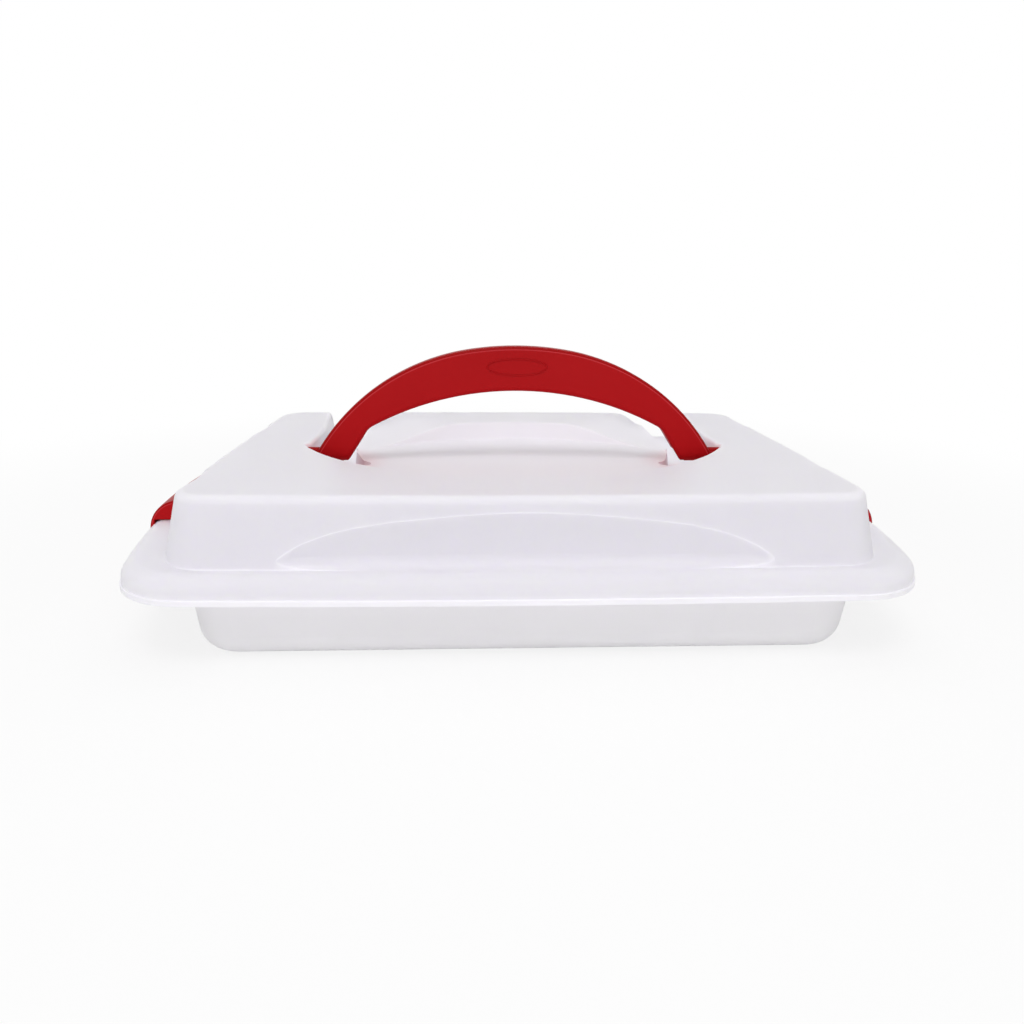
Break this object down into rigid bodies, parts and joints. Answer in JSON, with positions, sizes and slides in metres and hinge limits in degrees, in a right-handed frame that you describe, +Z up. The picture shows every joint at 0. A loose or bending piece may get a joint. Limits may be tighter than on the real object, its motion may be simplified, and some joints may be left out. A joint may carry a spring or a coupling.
{
  "type": "cake carrier",
  "caption": "Rectangular cake carrier: a deep tray, a lift-off lid with a recessed top, side clips and an arched carry handle that folds down flat.",
  "frame": {"origin": "centre of the footprint, on the surface that the tray stands on", "axes": "+X along the carrier's length, towards the right-hand clip; +Y towards the back, where the handle folds; +Z up"},
  "size_m": [0.444, 0.3014, 0.148],
  "materials": {
    "frosted_lid": "satin",
    "frosted_tray": "satin",
    "red_plastic": "satin"
  },
  "bodies": {
    "tray": {"tray": "frosted_tray"},
    "lid": {"lid": "frosted_lid"},
    "handle": {"carry_handle": "red_plastic"},
    "left_clip": {"clip_left": "red_plastic"},
    "right_clip": {"clip_right": "red_plastic"}
  },
  "joints": [
    {"name": "lid_lift", "type": "slide", "parent": "tray", "child": "lid", "axis": [0, 0, 1], "range_m": [0, 0.12]},
    {"name": "handle_fold", "type": "hinge", "parent": "lid", "child": "handle", "pos_m": [0, 0, 0.0796], "axis": [-1, 0, 0], "range_deg": [0, 90]},
    {"name": "left_clip_swing", "type": "hinge", "parent": "lid", "child": "left_clip", "pos_m": [-0.2015, 0, 0.0557], "axis": [0, 1, 0], "range_deg": [0, 90]},
    {"name": "right_clip_swing", "type": "hinge", "parent": "lid", "child": "right_clip", "pos_m": [0.2015, 0, 0.0557], "axis": [0, -1, 0], "range_deg": [0, 90]}
  ]
}
